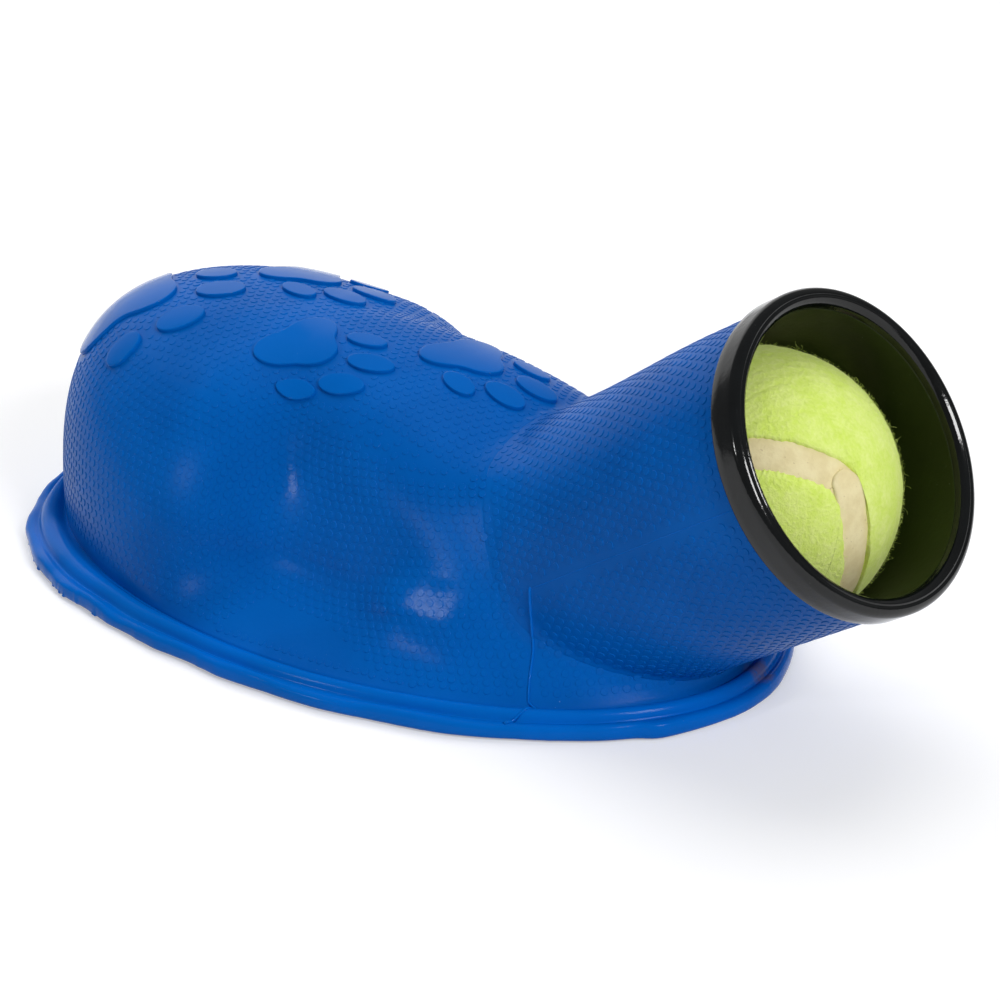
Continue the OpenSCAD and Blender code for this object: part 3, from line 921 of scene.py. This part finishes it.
def pipTree():
    given = newTree("gripPips", {"Sides": "Int", "Base": "Float", "Top": "Float", "Depth": "Float",
                                 "Sink": "Float", "Seed": "Int"})
    pip = given.node("GeometryNodeMeshCone", {"fill_type": "NGON"}, {
        "Vertices": given["Sides"], "Radius Top": given["Top"],
        "Radius Bottom": given["Base"], "Depth": given["Depth"]})
    soft = given.node("GeometryNodeSetShadeSmooth", {}, {
        "Geometry": pip, "Selection": pip["Side"], "Shade Smooth": True})
    down = given.node("ShaderNodeCombineXYZ", {}, {"Z": given["Sink"]})
    sunk = given.node("GeometryNodeTransform", {}, {"Geometry": soft, "Translation": down})
    way = given.node("GeometryNodeInputNamedAttribute", {"data_type": "FLOAT_VECTOR"}, {"Name": "outward"})
    lean = given.node("FunctionNodeAlignRotationToVector", {"axis": "Z"}, {"Vector": way})
    size = given.node("FunctionNodeRandomValue", {"data_type": "FLOAT"}, {
        2: pips["least"], 3: pips["most"], "Seed": given["Seed"]}, 1)
    return closeTree(given, given.node("GeometryNodeInstanceOnPoints", {}, {
        "Points": given, "Instance": sunk, "Rotation": lean, "Scale": size}))


def plantPips(name, tree, spots, normals):
    stray = chance.normal(0, pips["stray"], spots.shape)
    stray -= normals * (stray * normals).sum(1)[:, None]
    made = newPiece(name, spots + stray, [], shellVinyl)
    outward = made.data.attributes.new("outward", "FLOAT_VECTOR", "POINT")
    outward.data.foreach_set("vector", normals.astype(np.float32).ravel())
    runTree(made, tree, {
        "Sides": pips["sides"], "Base": pips["base"] * mm, "Top": pips["top"] * mm,
        "Depth": (pips["height"] + pips["sink"]) * mm, "Sink": -pips["sink"] * mm,
        "Seed": pips["seed"], "Finish": shellVinyl})
    return made


flashSpots = np.concatenate([line[0] for line in flashLines])
wallSpots, wallNormals = thinOut(wallRows(), flashSpots)
topSpots, topNormals = thinOut(topRows(), wallSpots)
tubeSpots, tubeNormals = thinOut(barrelRows(), np.concatenate([flashSpots, wallSpots, topSpots]))
grip = pipTree()
wallPips = plantPips("wallPips", grip, wallSpots, wallNormals)
topPips = plantPips("topPips", grip, topSpots, topNormals)
barrelPips = plantPips("barrelPips", grip, tubeSpots, tubeNormals)

# black plastic of the rim, and the sleeve's, whose olive green tint is painted light bounced from the ball
plastic = {
    "layers": {
        "drift": {"scale": 45, "detail": 3, "band": (0.35, 0.68)},
        "scuff": {"scale": 420, "detail": 4, "rough": 0.7, "stretch": (1, 1, 0.25), "band": (0.55, 0.8)},
        "speck": {"scale": 1900, "detail": 1, "band": (0.78, 0.82)},
        "fine": {"scale": 700, "detail": 3},
    },
    "tone": {"drift": 0.6, "scuff": 0.4}, "marks": [(("speck",), 0.5, srgb(110, 114, 114))],
    "rough": {"drift": 0.05, "scuff": 0.14}, "bump": {"fine": 1, "scuff": 0.4}, "depth": 0.04 * mm,
    "strength": 1,
}
rimPlastic = newFinish("rimPlastic", {
    **plastic, "fixed": {"IOR": 1.5, "Specular IOR Level": 0.36}, "gloss": 0.09,
    "low": srgb(8, 10, 11), "high": srgb(19, 22, 24)})
# the sleeve and seat ring are black plastic; the olive green in these tones is painted light bounced from
# the ball
sleevePaintedBounce = newFinish("sleevePaintedBounce", {
    **plastic, "fixed": {"IOR": 1.5, "Specular IOR Level": 0.25}, "gloss": 0.36,
    "low": srgb(26, 36, 6), "high": srgb(36, 48, 10)})


# turns a profile of (distance from the muzzle, radius) about the barrel's axis
def turnProfile(name, profile, sides, finish):
    rings = [barrelRing(along, radius, roundTurn(sides) - math.pi) for along, radius in profile]
    return ringPiece(name, rings, finish, inward=True)


rim = {
    "outer": 36.9, "inner": 32.6, "band": 7.4, "neck": 35.42, "sides": 200, "noseSteps": 33, "seat": 0.1,
    "crest": {"radius": 34.15, "reach": 0.22, "height": 0.16},
    "groove": {"radius": 34.7, "reach": 0.3, "height": -0.28},     # just outside the crest
    "edge": [(0, 0.35), (0.12, 0.1), (0.4, 0)], "flank": (5.2, 3.4), "lip": 3.2, "step": 33.4,
}


def rimProfile():
    middle, half = (rim["outer"] + rim["inner"]) / 2, (rim["outer"] - rim["inner"]) / 2
    profile = [(rim["band"], rim["neck"])]
    profile += [(rim["band"] - back, rim["outer"] - inset) for back, inset in rim["edge"]]
    profile += [(along, rim["outer"]) for along in rim["flank"]]
    for b in np.linspace(0, math.pi, rim["noseSteps"]):
        along, radius = half * (1 - math.sin(b)), middle + half * math.cos(b)
        for form in (rim["groove"], rim["crest"]):
            along -= form["height"] * hump(radius - form["radius"], form["reach"])
        profile.append((max(along, 0.0), radius))
    seat = barrel["front"] + rim["seat"]
    inside = [(seat, rim[key]) for key in ("inner", "step", "neck")]
    return profile + [(rim["lip"], rim["inner"])] + inside


# profiles of the sleeve and of the ring in it that the ball rests on
lining = {
    "sides": 144,
    "sleeve": [(3.0, 32.58), (3.02, 32.53), (3.4, 32.52), (12, 32.52), (30, 32.52), (51, 32.52),
               (71.6, 32.52), (72.2, 32.8), (72.3, 33.3), (72.3, 33.58), (40, 33.58), (4.42, 33.58),
               (4.42, 32.59)],
    "seat": [(51.6, 32.58), (51.55, 27.2), (51.8, 26.5), (52.5, 26.12), (53.5, 26.1), (54.6, 26.15),
             (55.3, 26.6), (55.5, 27.4), (55.5, 32.58)],
}
muzzleRim = turnProfile("muzzleRim", rimProfile(), rim["sides"], rimPlastic)
sleeve = turnProfile("barrelSleeve", lining["sleeve"], lining["sides"], sleevePaintedBounce)
seatRing = turnProfile("seatRing", lining["seat"], lining["sides"], sleevePaintedBounce)
print("muzzle pieces made")

# felt ball: two panels with a seam between them, whose line has a corner where its ends lap
ball = {
    "radius": 32.25, "core": 29.95, "depth": 32.2, "turn": (-166.6, 14.5, 33.1), "steps": 720, "crowd": 10,
    "swing": 2.0, "lap": 58.6, "kink": -0.19, "kinkWidth": 0.2, "kinkRound": 0.4, "seamWidth": 6.7,
    "lapWide": 0.035,
}
felt = {
    "rings": 43, "ringPitch": 46, "gap": 0.004, "sunk": 0.06, "pullFrom": 0.35, "lapAt": -0.15,
    "lapSpread": 0.12,
    "ragged": {"waves": [17, 31, 47, 83, 120], "height": 0.006}, "raggedSeed": 31,
    "lump": 0.07, "lumpWaves": ((41, 23, 0), (0, 37, -29)), "lumpsTo": 0.5,
    "edge": [(0.962, 0.05), (0.977, 0.2), (0.989, 0.5), (0.997, 0.95), (1.0, 1.5), (0.999, 2.2), (0.9, 2.3),
             (0.5, 2.3)],     # share of the way to the seam, and how far the felt has rolled down there
}
ballMiddle = muzzle + backAxis * ball["depth"]
ballMatrix = np.array(Euler([math.radians(t) for t in ball["turn"]]).to_matrix())
lapTurn = math.radians(ball["lap"])


def plainSeam(u):
    k, least = ball["swing"] * np.cos(2 * u), 1e-6
    safe = np.where(np.abs(k) < least, least, k)
    z = (np.sqrt(1 + 4 * safe * safe) - 1) / (2 * safe)
    return np.stack([np.sqrt(1 - z * z) * np.cos(u), np.sqrt(1 - z * z) * np.sin(u), z], -1)


def seamSide(line, u):
    step = 0.005
    return unit(np.cross(line(u), line(u + step) - line(u - step)))


# the seam's line, which is pushed out to a corner where its ends lap
def seamDirection(u):
    off, soft = wrap(u - lapTurn) / ball["kinkWidth"], ball["kinkRound"]
    push = ball["kink"] * np.exp(soft - np.sqrt(off * off + soft * soft))
    return unit(plainSeam(u) + seamSide(plainSeam, u) * push[..., None])


def beside(middle, across, half):
    half = np.broadcast_to(half, len(middle))[:, None]
    return np.cos(half) * middle + np.sin(half) * across


def inBall(p):
    return ballMiddle + p @ ballMatrix.T


# shifts the steps round the seam, so that they lie closer together where it climbs
def crowdTurns(u):
    return math.radians(ball["crowd"]) * np.sin(4 * u)


def dressFelt(name, side, finish):
    u = roundTurn(ball["steps"])
    u = side * (u + crowdTurns(u))
    ragged = slowNoise(u, seed=felt["raggedSeed"] + side, **felt["ragged"])
    room = ball["lapWide"] * hump(wrap(u - lapTurn) - felt["lapAt"], felt["lapSpread"], 4) * (side < 0)
    half = side * (ball["seamWidth"] / 2 / ball["radius"] - felt["gap"] + ragged + room)
    plain, edge = [beside(line(u), seamSide(line, u), half) for line in (plainSeam, seamDirection)]
    polar = np.arccos(np.clip(plain[:, 2] * side, -1, 1))
    about = np.arctan2(plain[:, 1], plain[:, 0])
    rows = [(i / felt["ringPitch"], 0.0) for i in range(1, felt["rings"] + 1)] + felt["edge"]
    top = ball["radius"] - felt["sunk"]
    rings = []
    for share, down in rows:
        t = polar * share
        way = np.stack([np.sin(t) * np.cos(about), np.sin(t) * np.sin(about), side * np.cos(t)], -1)
        way = unit(way + (edge - plain) * smoothStep((share - felt["pullFrom"]) / (1 - felt["pullFrom"])))
        lumps = felt["lump"] * np.prod(np.sin(way @ np.transpose(felt["lumpWaves"])), axis=-1)
        rings.append(inBall(way * (top + lumps * (down < felt["lumpsTo"]) - down)[:, None]))
    count, end = len(u), len(rings) * len(u)
    poles = inBall(np.array([[0, 0, side * top], [0, 0, side * ball["core"]]]))
    faces = turned(ringFaces(len(rings), count) + fan(end - count, count, end + 1)) + fan(0, count, end)
    return newPiece(name, np.concatenate(rings + [poles]), faces, finish)


feltNap = newFinish("feltNap", {
    "fixed": {"IOR": 1.4, "Sheen Weight": 0.35, "Sheen Roughness": 0.5, "Sheen Tint": srgb(240, 250, 190)},
    "layers": {
        "clumps": {"scale": 170, "detail": 4, "rough": 0.6, "band": (0.3, 0.7)},
        "strand": {"scale": 2600, "detail": 3, "rough": 0.7},
        "matted": {"scale": 1100, "detail": 3, "rough": 0.6, "band": (0.35, 0.7)},
        "shade": {"scale": 2600, "detail": 3, "rough": 0.7, "band": (0.6, 0.75)},
    },
    "low": srgb(210, 236, 90), "high": srgb(236, 250, 154),
    "tone": {"clumps": 0.45, "matted": 0.35, "strand": 0.2},
    "marks": [(("shade",), 0.3, srgb(174, 212, 50))], "gloss": 0.86, "rough": {"strand": 0.12},
    "bump": {"matted": 0.6, "strand": 0.4}, "depth": 0.2 * mm, "strength": 0.8,
})
seamRubber = newFinish("seamRubber", {
    "fixed": {"IOR": 1.45},
    "layers": {
        "blotch": {"scale": 240, "detail": 3, "band": (0.35, 0.7)},
        "grain": {"scale": 1300, "detail": 3},
        "speck": {"scale": 900, "detail": 1, "band": (0.72, 0.76)},
    },
    "low": srgb(226, 210, 158), "high": srgb(242, 230, 182), "tone": {"blotch": 0.7, "grain": 0.3},
    "marks": [(("speck",), 0.4, srgb(170, 140, 96))], "gloss": 0.62, "rough": {"grain": 0.15},
    "bump": {"grain": 1}, "depth": 0.12 * mm, "strength": 1,
})
feltA = dressFelt("feltPanelA", 1, feltNap)
feltB = dressFelt("feltPanelB", -1, feltNap)

# rubber seam: one strip whose rounded end runs straight on over its start
seam = {
    "radius": 31.5, "from": -0.3, "past": 0.23, "steps": 900, "tip": 5.8, "tipSteps": 30, "half": 0.008,
    "under": 0.02, "innerRound": 2.6, "outerRound": 7, "least": 0.02, "wideAt": 9, "wideSpread": 9,
    "raised": 0.75, "raisedRun": 8.5, "sunk": 0.5, "sunkRun": 4,
    "section": [(1.0, 1.5), (1.0, 0.35), (0.86, 0.06), (0.45, 0.0), (0.0, 0.0), (-0.45, 0.0), (-0.86, 0.06),
                (-1.0, 0.35), (-1.0, 1.5)],     # share of the half width, and how far down
}


def dressSeam():
    u = lapTurn + seam["from"] + (math.tau + seam["past"]) * np.linspace(0, 1, seam["steps"])
    u = u + crowdTurns(u) - crowdTurns(lapTurn)
    middle, across = seamDirection(u), seamSide(seamDirection, u)
    onward = unit(middle[-1] - middle[-2])
    arc = np.linspace(0, seam["tip"] / seam["radius"], seam["tipSteps"])[1:, None]
    middle = np.concatenate([middle, np.cos(arc) * middle[-1] + np.sin(arc) * onward])
    across = np.concatenate([across, np.repeat(across[-1:], len(arc), 0)])
    run = runAlong(middle) * seam["radius"]
    left = run[-1] - run
    raised = hump(left, seam["raisedRun"], 4)
    half = ball["seamWidth"] / 2 / ball["radius"] + seam["half"] + seam["under"] * (1 - raised)
    inner, outer = [np.sqrt(np.clip(1 - (1 - left / seam[key]).clip(0) ** 2, seam["least"], 1))
                    for key in ("innerRound", "outerRound")]
    outer = outer * (1 + ball["lapWide"] / half * hump(left - seam["wideAt"], seam["wideSpread"], 4))
    lift = seam["raised"] * raised - seam["sunk"] * hump(run, seam["sunkRun"])
    rows = []
    for share, down in seam["section"]:
        way = beside(middle, across, half * share * (inner if share > 0 else outer))
        rows.append(inBall(way * (seam["radius"] - down + lift * (down < 1))[:, None]))
    grid = np.stack(rows, 1)
    return newPiece("ballSeam", grid.reshape(-1, 3), cappedFaces(*grid.shape[:2]), seamRubber)


ballSeam = dressSeam()
print("ball made")

# nap: short fibres that stand out from the felt, and a few long ones that bend
nap = {"density": 1.05, "length": 0.5, "bend": 0.5, "thick": 0.016, "steps": 3, "seed": 9, "keepIn": 30.9}
stray = {"density": 0.07, "length": 1.05, "bend": 1.4, "thick": 0.014, "steps": 9, "seed": 17,
         "keepIn": 29.8}
fibres = {"root": -0.3, "sides": 3, "lean": 0.7, "spin": 3.14, "least": 0.45, "most": 1.35, "sizeSeed": 5,
          "deepest": 0.5}


def napTree():
    given = newTree("ballNap", {"Density": "Float", "Length": "Float", "Bend": "Float", "Thickness": "Float",
                                "Steps": "Int", "Seed": "Int"})
    spread = given.node("GeometryNodeDistributePointsOnFaces", {"distribute_method": "RANDOM"}, {
        "Mesh": given, "Density": given["Density"], "Seed": given["Seed"]}, "Points")
    tip = given.node("ShaderNodeCombineXYZ", {}, {"X": given["Bend"], "Z": given["Length"]})
    mid = given.node("ShaderNodeCombineXYZ", {}, {"Z": given["Length"]})
    hair = given.node("GeometryNodeCurveQuadraticBezier", {}, {
        "Resolution": given["Steps"], "Start": (0, 0, fibres["root"] * mm), "Middle": mid, "End": tip})
    ring = given.node("GeometryNodeCurvePrimitiveCircle", {}, {
        "Resolution": fibres["sides"], "Radius": given["Thickness"]})
    fibre = given.node("GeometryNodeCurveToMesh", {}, {
        "Curve": hair, "Profile Curve": ring, "Fill Caps": True})
    most = np.array([fibres["lean"], fibres["lean"], fibres["spin"]])
    spin = given.node("FunctionNodeRandomValue", {"data_type": "FLOAT_VECTOR"}, {
        0: -most, 1: most, "Seed": given["Seed"]})
    euler = given.node("FunctionNodeEulerToRotation", {}, {0: spin})
    stand = given.node("FunctionNodeRotateRotation", {"rotation_space": "LOCAL"}, {
        0: spread["Rotation"], 1: euler})
    size = given.node("FunctionNodeRandomValue", {"data_type": "FLOAT"}, {
        2: fibres["least"], 3: fibres["most"], "Seed": fibres["sizeSeed"]}, 1)
    return closeTree(given, given.node("GeometryNodeInstanceOnPoints", {}, {
        "Points": spread, "Instance": fibre, "Rotation": stand, "Scale": size}))


# the faces of the felt that the fibres grow on: its top, away from the sleeve
def napGround(name, keepIn):
    points, faces = [], []
    for piece in (feltA, feltB):
        co = np.array([v.co for v in piece.data.vertices]) / mm
        off = co - ballMiddle
        away = np.linalg.norm(off - (off @ backAxis)[:, None] * backAxis, axis=1)
        good = (np.linalg.norm(off, axis=1) > ball["radius"] - fibres["deepest"]) & (away < keepIn)
        start = len(points)
        points.extend(co)
        faces += [tuple(start + i for i in f.vertices) for f in piece.data.polygons
                  if all(good[i] for i in f.vertices)]
    return newPiece(name, points, faces, feltNap)


def growFibres(name, tree, sort):
    made = napGround(name, sort["keepIn"])
    runTree(made, tree, {
        "Density": sort["density"] / mm ** 2, "Length": sort["length"] * mm, "Bend": sort["bend"] * mm,
        "Thickness": sort["thick"] * mm, "Steps": sort["steps"], "Seed": sort["seed"], "Finish": feltNap})
    return made


fuzz = napTree()
napFibres = growFibres("napFibres", fuzz, nap)
strayFibres = growFibres("strayFibres", fuzz, stray)

# the ball's rubber core keeps its CAD shape
coreRubber = newFinish("coreRubber", {
    "fixed": {"IOR": 1.45},
    "layers": {
        "cloud": {"scale": 120, "detail": 4, "band": (0.3, 0.7)},
        "grain": {"scale": 900, "detail": 3},
    },
    "low": srgb(118, 120, 108), "high": srgb(150, 150, 136), "tone": {"cloud": 1}, "marks": [],
    "gloss": 0.7, "rough": {"cloud": 0.15}, "bump": {"grain": 1}, "depth": 0.1 * mm, "strength": 1,
})
for name in ("ball_core_front", "ball_core_rear"):
    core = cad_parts[name]
    core.data.materials.clear()
    core.data.materials.append(coreRubber)

# who rides on what; the dome's pieces are baked in place, and the stomp's start and end points are not used
stomp = {"start": (-0.105, 0, 0.025), "end": (-0.1086, 0, 0.0438)}
for piece in (domeSkin, pawPads, wallPips, topPips):
    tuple(stomp["start"])
    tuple(stomp["end"])
    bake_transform(piece)
for piece in (barrelTube, barrelPips, flangeRing, floorSheet, partingFlash, muzzleRim, sleeve, seatRing):
    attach(piece, "launcher")
for piece in (feltA, feltB, ballSeam, napFibres, strayFibres):
    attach(piece, "ball")
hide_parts("skirt", "shoulder", "crown")
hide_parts("paw_prints")
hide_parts("neck")
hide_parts("base_sheet")
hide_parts("muzzle_rim")
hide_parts("sleeve")
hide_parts("seat_ring")
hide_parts("felt_panel_a")
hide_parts("felt_panel_b")
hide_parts("ball_seam")
slots = {
    "shell_vinyl": (domeSkin, wallPips, topPips, barrelTube, barrelPips, flangeRing, floorSheet,
                    partingFlash),
    "print_vinyl": (pawPads,), "black_plastic": (muzzleRim, sleeve, seatRing),
    "felt": (feltA, feltB, napFibres, strayFibres), "seam_rubber": (ballSeam,),
}
for slot, members in slots.items():
    for piece in members:
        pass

# studio: pale floor, a white backdrop behind, a dimmer room in front and soft boxes
studio = {
    "floor": {"Base Color": srgb(220, 220, 221), "Roughness": 0.9, "Specular IOR Level": 0.1},
    "floorReach": 6, "floorZ": -0.0004, "lift": 0.36, "room": 0.2, "backdrop": (-0.863, 0.498, 0.087),
    "backdropEdge": (0.79, 0.89), "white": (1, 1, 1, 1), "aim": (0.02, 0, 0.04),
    "boxes": [
        {"name": "topBox", "place": (-0.3, 0.5, 1.5), "size": 1.4, "power": 12.5, "mirrored": False},
        {"name": "backBox", "place": (-1.25, 0.25, 0.7), "size": 0.8, "power": 7, "mirrored": False},
        {"name": "rightBox", "place": (1.27, -0.32, 0.92), "size": 0.4, "power": 13, "mirrored": True},
        {"name": "leftBox", "place": (-0.45, -1.39, 0.68), "size": 0.13, "power": 2.8, "mirrored": True},
    ],
}


# 1 where the camera looks at the stage, and 1 where a reflection or something clear does
def looksAtStage(start):
    seen = start.node("ShaderNodeLightPath", out="Is Camera Ray")
    return seen, seen.sum("MAXIMUM", seen["Is Glossy Ray"], seen["Is Transmission Ray"])


def dressFloor():
    edge, low = studio["floorReach"], studio["floorZ"]
    floor = bpy.data.objects.new("floor", bpy.data.meshes.new("floor"))
    corners = [(-edge, -edge, low), (edge, -edge, low), (edge, edge, low), (-edge, edge, low)]
    floor.data.from_pydata(corners, [], [(0, 1, 2, 3)])
    made, shader, place = startFinish("studioFloor", studio["floor"])
    direct, mirrored = looksAtStage(place)
    glow = place.node("ShaderNodeEmission", {}, {
        "Color": studio["white"], "Strength": place.sum("MAXIMUM", direct, mirrored) * studio["lift"]})
    both = place.node("ShaderNodeAddShader", {}, {0: Wire(place.tree, shader.outputs[0]), 1: glow})
    plug(place.tree.nodes["Material Output"], "Surface", both)
    floor.data.materials.append(made)
    scene.collection.objects.link(floor)


def dressRoom():
    world = bpy.data.worlds.new("studioRoom")
    world.use_nodes = True
    way = Wire(world.node_tree).node("ShaderNodeTexCoord", out="Generated")
    behind = way.node("ShaderNodeVectorMath", {"operation": "DOT_PRODUCT"},
                      {0: way, 1: studio["backdrop"]}, 1)
    direct, mirrored = looksAtStage(way)
    white = way.sum("MAXIMUM", direct, mirrored * behind.band(*studio["backdropEdge"]))
    back = world.node_tree.nodes["Background"]
    back.inputs["Color"].default_value = studio["white"]
    plug(back, "Strength", studio["room"] + white * (1 - studio["room"]))
    scene.world = world


def dressStudio():
    dressFloor()
    dressRoom()
    for box in studio["boxes"]:
        lamp = bpy.data.lights.new(box["name"], "AREA")
        lamp.shape, lamp.size, lamp.energy = "SQUARE", box["size"], box["power"]
        holder = bpy.data.objects.new(box["name"], lamp)
        holder.location = box["place"]
        holder.visible_glossy = box["mirrored"]
        aim = Vector(studio["aim"]) - holder.location
        holder.rotation_euler = aim.to_track_quat("-Z", "Y").to_euler()
        scene.collection.objects.link(holder)


dressStudio()
print("studio set")
